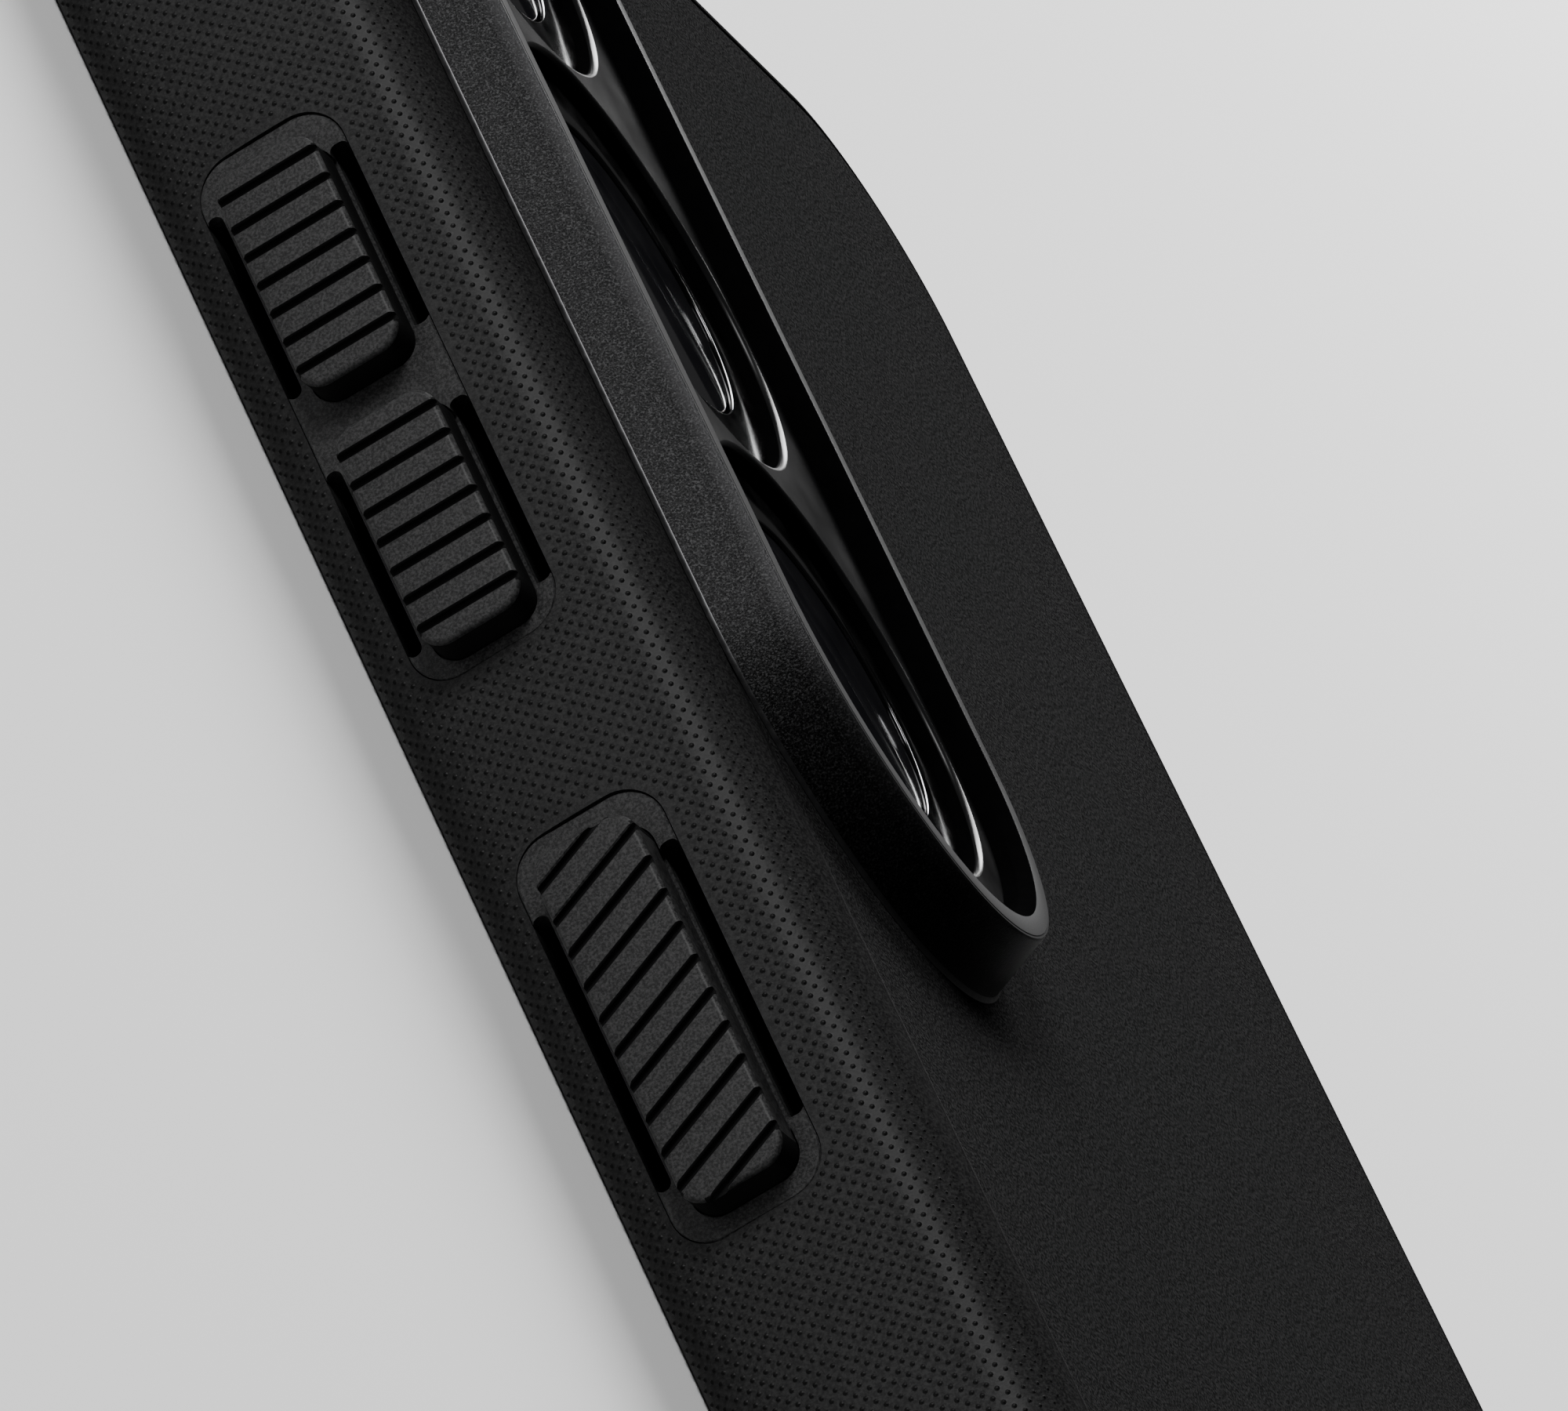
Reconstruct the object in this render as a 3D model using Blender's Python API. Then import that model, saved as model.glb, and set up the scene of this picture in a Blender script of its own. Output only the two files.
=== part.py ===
"""Rugged phone case: soft bumper, rigid back, camera guard with three lens covers, and three side buttons.

The case lies on its front lip, back up. +Z is up, +Y points to the top of the phone, and the buttons are
on the -X side. Sizes below are in millimetres and become metres where a mesh is made.
"""

import math

import bmesh
import bpy

MM = 0.001

# The phone that the case is made for, and the walls round it.
PHONE_WIDTH, PHONE_LENGTH, PHONE_THICKNESS = 70.6, 147.0, 7.6
PHONE_CLEARANCE = 0.1
RAIL_WALL = 2.3
FRONT_LIP = 1.3
LIP_OVERHANG = 1.4
LIP_EDGE_WIDTH, LIP_EDGE_HEIGHT = 0.4, 0.45
BACK_THICKNESS = 2.2
CORNER_RADIUS = 10.8
BUTTON_PROUD = 1.44

POCKET_WIDTH = PHONE_WIDTH + 2 * PHONE_CLEARANCE
POCKET_LENGTH = PHONE_LENGTH + 2 * PHONE_CLEARANCE
POCKET_TOP = FRONT_LIP + PHONE_THICKNESS + PHONE_CLEARANCE
BODY_WIDTH = POCKET_WIDTH + 2 * RAIL_WALL
BODY_LENGTH = POCKET_LENGTH + 2 * RAIL_WALL
BODY_HEIGHT = POCKET_TOP + BACK_THICKNESS

# The button side stands proud of the body, so the body sits off centre in the whole object's box.
BODY_X = BUTTON_PROUD / 2
SIDE_X = BODY_X - BODY_WIDTH / 2

# Side profile: a shallow crown, with a small front edge and a larger back edge.
CROWN_HEIGHT = 5.2
CROWN_RADIUS = 25.0
FRONT_EDGE_RADIUS = 1.45
BACK_EDGE_RADIUS = 2.6

# How finely curves are divided, and how far a cutter runs past the face that it opens.
CORNER_STEPS, SMALL_CORNER_STEPS = 10, 6
CROWN_STEPS, FRONT_EDGE_STEPS, BACK_EDGE_STEPS = 3, 5, 6
PILL_STEPS, ROUND_STEPS, MIC_STEPS = 18, 48, 16
CUT_PAST = 1.0

# Joint between bumper and back plate: a tongue on the plate sits in a groove in the bumper.
PARTING_INSET = 2.7
SEAM = 0.15
GROOVE_DEPTH = 0.6
GROOVE_FLOOR, GROOVE_ROOF = 9.9, 10.85
TONGUE_GAP = 0.3
PLATE_RIM_EDGE = 0.1
SHELF_INSET = 4.4
LINER_THICKNESS = 0.6

# Camera guard: a pill-shaped wall round three lens covers.
LENS_X = SIDE_X + 14.04
LENS_PITCH = 17.63
LENS_MIDDLE_Y = 42.14
GUARD_HALF_LENGTH = LENS_PITCH + 1.35
GUARD_FOOT_RADIUS = 11.54
GUARD_RIM_RADIUS = 10.51
GUARD_RIM_WIDTH = 1.1
GUARD_HEIGHT = 2.66
GUARD_BORE = 9.15
GUARD_LEDGE = 8.6
GUARD_SKIRT = 9.6
PLATE_BELOW_RIM = 1.0
PLATE_THICKNESS = 1.4
GUARD_RIM_EDGE = 0.14
GUARD_BORE_CHAMFER = 0.3
PLATE_EDGE = 0.08
CAMERA_OPENING = 9.9
LENS_HOLE_RADIUS = 8.54
LENS_LEDGE_RADIUS = 7.9
LENS_RING_RADIUS = 8.3
LENS_RING_DROP = 0.6
LENS_RING_BORE = 6.05
LENS_FLANGE = 0.35
LENS_RING_EDGE = 0.06
LENS_SEAT_GAP = 0.25
GLASS_BELOW_RING = 0.15
GLASS_EDGE = 0.05
LENS_CLEAR_RADIUS = 5.3
LENS_GLASS_RADIUS = 5.85

# Button recesses and panels, as (lowest y, highest y).
RECESS_DEPTH = 0.12
RECESS_LOW, RECESS_HIGH = 1.77, 7.55
RECESS_CORNER = 1.6
VOLUME_RECESS = (24.23, 46.41)
POWER_RECESS = (1.11, 17.49)
PANEL_THICKNESS = 1.0

# Button caps: centre y, length along y, length of the flexing slots beside them.
CAP_LOW, CAP_HIGH = 2.78, 6.76
CAP_CORNER = 0.95
CAP_EDGE, CAP_EDGE_STEPS = 0.22, 2
VOLUME_UP = (40.38, 9.16, 7.80)
VOLUME_DOWN = (29.38, 9.16, 7.80)
POWER = (9.01, 14.19, 11.18)
SLOT_WIDTH = 0.62
SLOT_OFFSET = 0.32
SLOT_SHIFT = 0.3
CAP_SKIRT = 0.10
CAP_CLEARANCE = 0.15
POCKET_DEPTH = 0.6
STEM_HEIGHT = 2.4
STEM_SHARE = 0.5
STEM_CORNER = 0.5
STEM_START = 1.0
STEM_CORNER_STEPS = 3
WINDOW_CLEARANCE = 0.25
PUSHER_THICKNESS = 0.3
PUSHER_SEAT = 0.5
PUSHER_FREE = 0.08
PUSHER_CORNER = 0.6
PUSHER_MARGIN = 0.75

# Ribs on the caps are left between straight grooves.
RIB_GROOVE_WIDTH, RIB_GROOVE_DEPTH, RIB_GROOVE_LENGTH = 0.28, 0.30, 9.0
RIB_GROOVE_CORNER = 0.02
RIB_PITCH = 1.21
VOLUME_GROOVES = 7
POWER_GROOVES = 11
POWER_GROOVE_PITCH = 1.24
POWER_GROOVE_ANGLE = math.radians(23)

# Openings in the end walls.
PORT_Z = FRONT_LIP + 3.85
PORT_WIDTH, PORT_HEIGHT, PORT_CORNER = 13.6, 7.0, 2.2
SPEAKER_X, SPEAKER_LENGTH, SPEAKER_HEIGHT = 17.5, 12.0, 2.2
BOTTOM_MIC_X, TOP_MIC_X, MIC_RADIUS = -12.0, 9.0, 0.9

MATERIALS = {
    "soft_black": ((0.015, 0.015, 0.015), 0.50, 0.0),
    "hard_black": ((0.013, 0.013, 0.013), 0.50, 0.0),
    "microfibre": ((0.045, 0.045, 0.048), 0.95, 0.0),
    "blasted_metal": ((0.020, 0.020, 0.021), 0.45, 0.75),
    "satin_black": ((0.008, 0.008, 0.008), 0.25, 0.0),
    "polished_steel": ((0.130, 0.130, 0.134), 0.10, 1.0),
    "dark_glass": ((0.007, 0.007, 0.008), 0.05, 0.0),
}


def clear_scene():
    for item in list(bpy.data.objects):
        bpy.data.objects.remove(item, do_unlink=True)


def material(name):
    found = bpy.data.materials.get(name)
    if found:
        return found
    color, roughness, metallic = MATERIALS[name]
    made = bpy.data.materials.new(name)
    made.use_nodes = True
    shader = made.node_tree.nodes["Principled BSDF"]
    shader.inputs["Base Color"].default_value = (*color, 1.0)
    shader.inputs["Roughness"].default_value = roughness
    shader.inputs["Metallic"].default_value = metallic
    return made


# ---- Outlines: each returns the closed outline that lies a given inset inside the full shape ----


def rectangle_outline(length_x, length_y, radius, steps=CORNER_STEPS):
    """Rounded rectangle about the origin; the inset keeps the corner centres where they are."""

    def outline(inset):
        corner = max(radius - inset, 0.05)
        reach_x = length_x / 2 - inset - corner
        reach_y = length_y / 2 - inset - corner
        points = []
        for quarter, (sign_x, sign_y) in enumerate(((1, 1), (-1, 1), (-1, -1), (1, -1))):
            for step in range(steps + 1):
                angle = math.pi / 2 * (quarter + step / steps)
                x, y = corner * math.cos(angle), corner * math.sin(angle)
                points.append((sign_x * reach_x + x, sign_y * reach_y + y))
        return points

    return outline


def pill_outline(radius, half_length, steps=PILL_STEPS):
    """Pill shape along Y: two half circles joined by straight sides."""

    def outline(inset):
        points = []
        for half, sign in ((0, 1), (1, -1)):
            for step in range(steps + 1):
                angle = math.pi * (half + step / steps)
                x, y = (radius - inset) * math.cos(angle), (radius - inset) * math.sin(angle)
                points.append((x, sign * half_length + y))
        return points

    return outline


def circle_outline(radius, steps=ROUND_STEPS):
    def outline(inset):
        turns = [2 * math.pi * step / steps for step in range(steps)]
        return [((radius - inset) * math.cos(angle), (radius - inset) * math.sin(angle)) for angle in turns]

    return outline


# ---- Solids from an outline and a section of (inset, height) points ----


def lay_flat(centre_x, centre_y):
    """Outline in the XY plane, height along +Z."""
    return lambda u, v, w: ((centre_x + u) * MM, (centre_y + v) * MM, w * MM)


def face_side(centre_y, centre_z):
    """Outline in the YZ plane of the button side, height measured inwards from the side plane."""
    return lambda u, v, w: ((SIDE_X + w) * MM, (centre_y + u) * MM, (centre_z + v) * MM)


def face_end(centre_x, centre_z):
    """Outline in the XZ plane, height along +Y."""
    return lambda u, v, w: ((centre_x + u) * MM, w * MM, (centre_z + v) * MM)


def swept_solid(name, outline, section, place, finish=None, ring=False):
    """Joins one loop per section point. A ring's last loop meets its first; other shapes get end caps."""
    mesh = bmesh.new()
    loops = []
    for inset, height in section:
        loops.append([mesh.verts.new(place(u, v, height)) for u, v in outline(inset)])
    pairs = list(zip(loops, loops[1:]))
    if ring:
        pairs.append((loops[-1], loops[0]))
    for lower, upper in pairs:
        count = len(lower)
        for i in range(count):
            j = (i + 1) % count
            mesh.faces.new((lower[i], lower[j], upper[j], upper[i]))
    if not ring:
        mesh.faces.new(loops[0])
        mesh.faces.new(loops[-1])
    bmesh.ops.recalc_face_normals(mesh, faces=mesh.faces)
    return mesh_object(name, mesh, finish)


def mesh_object(name, mesh, finish):
    data = bpy.data.meshes.new(name)
    mesh.to_mesh(data)
    mesh.free()
    data.shade_smooth()
    data.set_sharp_from_angle(angle=math.radians(35))
    made = bpy.data.objects.new(name, data)
    bpy.context.scene.collection.objects.link(made)
    if finish:
        data.materials.append(material(finish))
    else:
        made.hide_render = True
        made.display_type = "WIRE"
    return made


def combine(target, tool, operation):
    change = target.modifiers.new(f"{operation} {tool.name}".lower(), "BOOLEAN")
    change.operation = operation
    change.solver = "EXACT"
    change.object = tool
    tool.hide_render = True
    tool.display_type = "WIRE"


def cut(target, tool):
    combine(target, tool, "DIFFERENCE")


def add(target, tool):
    combine(target, tool, "UNION")


def arc(centre, radius, start, end, steps):
    """Points on an arc in the section plane, angles in degrees."""
    points = []
    for step in range(steps + 1):
        angle = math.radians(start + (end - start) * step / steps)
        points.append((centre[0] + radius * math.cos(angle), centre[1] + radius * math.sin(angle)))
    return points


def side_inset(height):
    """How far the crowned side lies inside the outermost plane at this height."""
    return (height - CROWN_HEIGHT) ** 2 / (2 * CROWN_RADIUS)


# ---- The case body ----


def body_outline():
    return rectangle_outline(BODY_WIDTH, BODY_LENGTH, CORNER_RADIUS)


def between(low, high):
    """Evenly spaced heights between two heights of the crowned side."""
    return [low + (high - low) * step / CROWN_STEPS for step in range(1, CROWN_STEPS)]


def bumper_section():
    lip_inset = RAIL_WALL + LIP_OVERHANG
    front_centre = (side_inset(FRONT_EDGE_RADIUS) + FRONT_EDGE_RADIUS, FRONT_EDGE_RADIUS)
    back_centre_z = BODY_HEIGHT - BACK_EDGE_RADIUS
    back_centre = (side_inset(back_centre_z) + BACK_EDGE_RADIUS, back_centre_z)
    lip_angle = math.degrees(math.acos((PARTING_INSET - back_centre[0]) / BACK_EDGE_RADIUS))
    section = [(lip_inset, LIP_EDGE_HEIGHT), (lip_inset - LIP_EDGE_WIDTH, 0.0)]
    section += arc(front_centre, FRONT_EDGE_RADIUS, 270, 180, FRONT_EDGE_STEPS)
    heights = between(FRONT_EDGE_RADIUS, CROWN_HEIGHT) + [CROWN_HEIGHT] + between(CROWN_HEIGHT, back_centre_z)
    section += [(side_inset(height), height) for height in heights]
    section += arc(back_centre, BACK_EDGE_RADIUS, 180, lip_angle, BACK_EDGE_STEPS)
    section += [
        (PARTING_INSET, GROOVE_ROOF),
        (PARTING_INSET - GROOVE_DEPTH, GROOVE_ROOF),
        (PARTING_INSET - GROOVE_DEPTH, GROOVE_FLOOR),
        (SHELF_INSET, GROOVE_FLOOR),
        (SHELF_INSET, POCKET_TOP),
        (RAIL_WALL, POCKET_TOP),
        (RAIL_WALL, FRONT_LIP),
        (lip_inset, FRONT_LIP),
    ]
    return section


def make_bumper():
    place = lay_flat(BODY_X, 0)
    bumper = swept_solid("bumper_frame", body_outline(), bumper_section(), place, "soft_black", ring=True)
    for name, recess in (("volume", VOLUME_RECESS), ("power", POWER_RECESS)):
        depth = RECESS_DEPTH + PANEL_THICKNESS + SEAM / 2
        cut(bumper, recess_block(f"cut_{name}_recess", recess, 0, -CUT_PAST, depth))
    for name, button in (("volume_up", VOLUME_UP), ("volume_down", VOLUME_DOWN), ("power", POWER)):
        cut_button_way(bumper, name, button)
        seat = RAIL_WALL - PUSHER_SEAT
        cut(bumper, pusher_block(f"cut_{name}_seat", button, CAP_CLEARANCE, seat, RAIL_WALL + CUT_PAST))
    end = BODY_LENGTH / 2
    port = rectangle_outline(PORT_WIDTH, PORT_HEIGHT, PORT_CORNER, SMALL_CORNER_STEPS)
    speaker = rectangle_outline(SPEAKER_LENGTH, SPEAKER_HEIGHT, SPEAKER_HEIGHT / 2, SMALL_CORNER_STEPS)
    mic = circle_outline(MIC_RADIUS, MIC_STEPS)
    through_bottom = [(0, -end - CUT_PAST), (0, -end + RAIL_WALL + CUT_PAST)]
    through_top = [(0, end - RAIL_WALL - CUT_PAST), (0, end + CUT_PAST)]
    cut(bumper, swept_solid("cut_port", port, through_bottom, face_end(BODY_X, PORT_Z)))
    cut(bumper, swept_solid("cut_speaker", speaker, through_bottom, face_end(BODY_X + SPEAKER_X, PORT_Z)))
    cut(bumper, swept_solid("cut_bottom_mic", mic, through_bottom, face_end(BODY_X + BOTTOM_MIC_X, PORT_Z)))
    cut(bumper, swept_solid("cut_top_mic", mic, through_top, face_end(BODY_X + TOP_MIC_X, PORT_Z)))
    return bumper


def make_back_plate():
    tongue_low, tongue_high = GROOVE_FLOOR + TONGUE_GAP, GROOVE_ROOF - TONGUE_GAP
    tongue = PARTING_INSET - GROOVE_DEPTH + TONGUE_GAP
    edge = PARTING_INSET + SEAM
    core = SHELF_INSET + TONGUE_GAP
    section = [
        (core, POCKET_TOP + LINER_THICKNESS + SEAM),
        (core, tongue_low),
        (tongue, tongue_low),
        (tongue, tongue_high),
        (edge, tongue_high),
        (edge, BODY_HEIGHT - PLATE_RIM_EDGE),
        (edge + PLATE_RIM_EDGE, BODY_HEIGHT),
    ]
    plate = swept_solid("back_plate", body_outline(), section, lay_flat(BODY_X, 0), "hard_black")
    cut(plate, camera_block("cut_plate_camera", CAMERA_OPENING, POCKET_TOP, BODY_HEIGHT + CUT_PAST))
    return plate


def make_liner():
    edge = SHELF_INSET + TONGUE_GAP
    section = [(edge, POCKET_TOP), (edge, POCKET_TOP + LINER_THICKNESS)]
    liner = swept_solid("inner_liner", body_outline(), section, lay_flat(BODY_X, 0), "microfibre")
    cut(liner, camera_block("cut_liner_camera", CAMERA_OPENING, POCKET_TOP - CUT_PAST, BODY_HEIGHT))
    return liner


# ---- Camera guard, plate and lens covers ----


def camera_block(name, radius, low, high):
    outline = pill_outline(radius, GUARD_HALF_LENGTH)
    return swept_solid(name, outline, [(0, low), (0, high)], lay_flat(LENS_X, LENS_MIDDLE_Y))


def make_guard():
    foot, rim = BODY_HEIGHT + SEAM, BODY_HEIGHT + GUARD_HEIGHT
    skirt_bottom = POCKET_TOP + LINER_THICKNESS + SEAM
    ledge_top = rim - PLATE_BELOW_RIM - PLATE_THICKNESS - SEAM

    def inset(radius):
        return GUARD_FOOT_RADIUS - radius

    rim_bore = GUARD_RIM_RADIUS - GUARD_RIM_WIDTH
    section = [
        (0, foot),
        (inset(GUARD_RIM_RADIUS) - GUARD_RIM_EDGE / 2, rim - GUARD_RIM_EDGE),
        (inset(GUARD_RIM_RADIUS) + GUARD_RIM_EDGE, rim),
        (inset(rim_bore), rim),
        (inset(GUARD_BORE), rim - GUARD_BORE_CHAMFER),
        (inset(GUARD_BORE), ledge_top),
        (inset(GUARD_LEDGE), ledge_top),
        (inset(GUARD_LEDGE), skirt_bottom),
        (inset(GUARD_SKIRT), skirt_bottom),
        (inset(GUARD_SKIRT), foot),
    ]
    outline, place = pill_outline(GUARD_FOOT_RADIUS, GUARD_HALF_LENGTH), lay_flat(LENS_X, LENS_MIDDLE_Y)
    return swept_solid("camera_guard", outline, section, place, "blasted_metal", ring=True)


def plate_top():
    return BODY_HEIGHT + GUARD_HEIGHT - PLATE_BELOW_RIM


def lens_centres():
    steps = (("top", 1), ("middle", 0), ("bottom", -1))
    return [(name, LENS_MIDDLE_Y + step * LENS_PITCH) for name, step in steps]


def make_camera_plate():
    top, bottom = plate_top(), plate_top() - PLATE_THICKNESS
    outline = pill_outline(GUARD_BORE - SEAM, GUARD_HALF_LENGTH)
    section = [(0, bottom), (0, top - PLATE_EDGE), (PLATE_EDGE, top)]
    plate = swept_solid("camera_plate", outline, section, lay_flat(LENS_X, LENS_MIDDLE_Y), "satin_black")
    ledge = top - LENS_RING_DROP - LENS_FLANGE - SEAM
    step = LENS_HOLE_RADIUS - LENS_LEDGE_RADIUS
    hole = [(step, bottom - CUT_PAST), (step, ledge), (0, ledge), (0, top - PLATE_EDGE)]
    hole += [(-PLATE_EDGE, top), (-PLATE_EDGE, top + CUT_PAST)]
    for name, y in lens_centres():
        tool = swept_solid(f"cut_lens_{name}", circle_outline(LENS_HOLE_RADIUS), hole, lay_flat(LENS_X, y))
        cut(plate, tool)
    return plate


def make_lens_cover(name, y):
    ring_top = plate_top() - LENS_RING_DROP
    flange = ring_top - LENS_FLANGE
    ledge = flange - LENS_FLANGE
    bottom = ledge - LENS_FLANGE

    def inset(radius):
        return LENS_RING_RADIUS - radius

    body = inset(LENS_LEDGE_RADIUS - LENS_SEAT_GAP)
    section = [
        (0, flange),
        (0, ring_top - LENS_RING_EDGE),
        (LENS_RING_EDGE, ring_top),
        (inset(LENS_RING_BORE) - LENS_RING_EDGE, ring_top),
        (inset(LENS_RING_BORE), ring_top - LENS_RING_EDGE),
        (inset(LENS_RING_BORE), ledge),
        (inset(LENS_CLEAR_RADIUS), ledge),
        (inset(LENS_CLEAR_RADIUS), bottom),
        (body, bottom),
        (body, flange),
    ]
    outline, place = circle_outline(LENS_RING_RADIUS), lay_flat(LENS_X, y)
    swept_solid(f"lens_ring_{name}", outline, section, place, "polished_steel", ring=True)
    glass_top = ring_top - GLASS_BELOW_RING
    glass = [(0, ledge + SEAM), (0, glass_top - GLASS_EDGE), (GLASS_EDGE, glass_top)]
    swept_solid(f"lens_glass_{name}", circle_outline(LENS_GLASS_RADIUS), glass, place, "dark_glass")


# ---- Buttons ----


def recess_block(name, recess, inset, outer, inner, finish=None):
    low, high = recess
    outline = rectangle_outline(high - low, RECESS_HIGH - RECESS_LOW, RECESS_CORNER, SMALL_CORNER_STEPS)
    place = face_side((low + high) / 2, (RECESS_LOW + RECESS_HIGH) / 2)
    return swept_solid(name, outline, [(inset, outer), (inset, inner)], place, finish)


def cap_outline(button):
    return rectangle_outline(button[1], CAP_HIGH - CAP_LOW, CAP_CORNER, SMALL_CORNER_STEPS)


def cap_place(button):
    return face_side(button[0], (CAP_LOW + CAP_HIGH) / 2)


def stem_block(name, button, grow, outer, inner):
    length = button[1] * STEM_SHARE + 2 * grow
    outline = rectangle_outline(length, STEM_HEIGHT + 2 * grow, STEM_CORNER + grow, STEM_CORNER_STEPS)
    return swept_solid(name, outline, [(0, outer), (0, inner)], cap_place(button))


def pusher_block(name, button, grow, outer, inner, finish=None):
    margin = 2 * (PUSHER_MARGIN + grow)
    length, height = button[1] * STEM_SHARE + margin, STEM_HEIGHT + margin
    outline = rectangle_outline(length, height, PUSHER_CORNER + grow, STEM_CORNER_STEPS)
    return swept_solid(name, outline, [(0, outer), (0, inner)], cap_place(button), finish)


def cut_button_way(target, name, button):
    """Cuts the stem's window and the two slots that let the panel flex beside the button."""
    owner = target.name
    outer, inner = -CUT_PAST, RAIL_WALL + CUT_PAST
    cut(target, stem_block(f"cut_{owner}_{name}_window", button, WINDOW_CLEARANCE, outer, inner))
    slot = rectangle_outline(button[2], SLOT_WIDTH, SLOT_WIDTH / 2, SMALL_CORNER_STEPS)
    for side, z in (("low", RECESS_LOW + SLOT_OFFSET), ("high", RECESS_HIGH - SLOT_OFFSET)):
        place = face_side(button[0] + SLOT_SHIFT, z)
        cut(target, swept_solid(f"cut_{owner}_{name}_{side}_slot", slot, [(0, outer), (0, inner)], place))


def make_panel(name, recess, buttons):
    floor = RECESS_DEPTH
    panel = recess_block(name, recess, SEAM, floor, floor + PANEL_THICKNESS - SEAM / 2, "soft_black")
    for label, button in buttons:
        hole = [(-CAP_CLEARANCE, floor - CUT_PAST), (-CAP_CLEARANCE, floor + POCKET_DEPTH)]
        cut(panel, swept_solid(f"cut_{label}_pocket", cap_outline(button), hole, cap_place(button)))
        cut_button_way(panel, label, button)
    return panel


def make_button(name, button, grooves, pitch, angle):
    """A ribbed cap with a stem through the case wall, and the pusher behind it, on their slide axis."""
    face = -BUTTON_PROUD
    edge = arc((CAP_EDGE, face + CAP_EDGE), CAP_EDGE, 270, 180, CAP_EDGE_STEPS)
    section = edge + [(0, RECESS_DEPTH + CAP_SKIRT)]
    cap = swept_solid(f"{name}_button", cap_outline(button), section, cap_place(button), "soft_black")
    wall_end = RAIL_WALL - PUSHER_SEAT
    add(cap, stem_block(f"join_{name}_stem", button, 0, face + STEM_START, wall_end - SEAM))
    for i in range(grooves):
        along = (i - (grooves - 1) / 2) * pitch
        cut(cap, groove_block(f"cut_{name}_groove_{i}", button, along, face + RIB_GROOVE_DEPTH, angle))
    seat = wall_end + PUSHER_FREE
    pusher = pusher_block(f"{name}_pusher", button, 0, seat, seat + PUSHER_THICKNESS, "hard_black")
    axis = bpy.data.objects.new(f"{name}_slide_axis", None)
    axis.location = ((SIDE_X + face) * MM, button[0] * MM, (CAP_LOW + CAP_HIGH) / 2 * MM)
    bpy.context.scene.collection.objects.link(axis)
    bpy.context.view_layer.update()
    for piece in (cap, pusher):
        piece.parent = axis
        piece.matrix_parent_inverse = axis.matrix_world.inverted()


def groove_block(name, button, along, depth, angle):
    """A thin bar across the cap's face. Its length runs across the cap, turned by the angle towards +Y."""
    bar = rectangle_outline(RIB_GROOVE_WIDTH, RIB_GROOVE_LENGTH, RIB_GROOVE_CORNER, 1)
    cos, sin = math.cos(angle), math.sin(angle)
    step = along / cos
    centre_z = (CAP_LOW + CAP_HIGH) / 2

    def place(u, v, w):
        y = button[0] + step + u * cos + v * sin
        z = centre_z - u * sin + v * cos
        return ((SIDE_X + w) * MM, y * MM, z * MM)

    return swept_solid(name, bar, [(0, -BUTTON_PROUD - CUT_PAST), (0, depth)], place)


def main():
    clear_scene()
    make_bumper()
    make_back_plate()
    make_liner()
    make_guard()
    make_camera_plate()
    for name, y in lens_centres():
        make_lens_cover(name, y)
    volume = (("volume_up", VOLUME_UP), ("volume_down", VOLUME_DOWN))
    make_panel("volume_button_panel", VOLUME_RECESS, volume)
    make_panel("power_button_panel", POWER_RECESS, (("power", POWER),))
    for name, button in volume:
        make_button(name, button, VOLUME_GROOVES, RIB_PITCH, 0.0)
    make_button("power", POWER, POWER_GROOVES, POWER_GROOVE_PITCH, POWER_GROOVE_ANGLE)


main()
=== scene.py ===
"""Looks of the phone case: finely made shells, grip texture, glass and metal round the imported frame.

Lengths are in millimetres in the frame's axes and become metres where a mesh is made. The floor and the
lights are in metres. The case lies on its front lip, back up: +Z is up, +Y points to the phone's top, and the
buttons are on the -X side.
"""

import math

import bmesh
import bpy
import numpy as np
from mathutils import Matrix, Vector


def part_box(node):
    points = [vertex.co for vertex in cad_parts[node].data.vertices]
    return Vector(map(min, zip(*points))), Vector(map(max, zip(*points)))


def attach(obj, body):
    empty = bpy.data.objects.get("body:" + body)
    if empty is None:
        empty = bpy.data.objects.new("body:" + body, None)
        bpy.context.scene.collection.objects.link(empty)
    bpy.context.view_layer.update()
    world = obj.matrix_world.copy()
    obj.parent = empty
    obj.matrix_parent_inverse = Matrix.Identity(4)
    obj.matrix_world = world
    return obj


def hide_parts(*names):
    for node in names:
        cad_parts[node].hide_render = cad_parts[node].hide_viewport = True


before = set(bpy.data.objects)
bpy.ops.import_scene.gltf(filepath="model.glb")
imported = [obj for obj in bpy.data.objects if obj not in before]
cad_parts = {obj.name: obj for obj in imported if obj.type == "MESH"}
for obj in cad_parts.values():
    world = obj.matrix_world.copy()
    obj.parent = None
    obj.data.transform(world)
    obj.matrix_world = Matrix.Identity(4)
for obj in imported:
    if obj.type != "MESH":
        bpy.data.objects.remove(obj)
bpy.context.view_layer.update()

MM = 0.001


def node_box(node):
    """Lowest and highest corner of a CAD node, in millimetres."""
    low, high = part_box(node)
    return np.array(low) / MM, np.array(high) / MM


# ---- Driving sizes, read from the frame where it holds them ----

BODY_LOW, BODY_HIGH = node_box("bumper_frame")
BODY_X = (BODY_LOW[0] + BODY_HIGH[0]) / 2
BODY_WIDTH = BODY_HIGH[0] - BODY_LOW[0]
BODY_LENGTH = BODY_HIGH[1] - BODY_LOW[1]
BODY_HEIGHT = BODY_HIGH[2]
SIDE_X = BODY_LOW[0]
CORNER_RADIUS = 10.8

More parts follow.
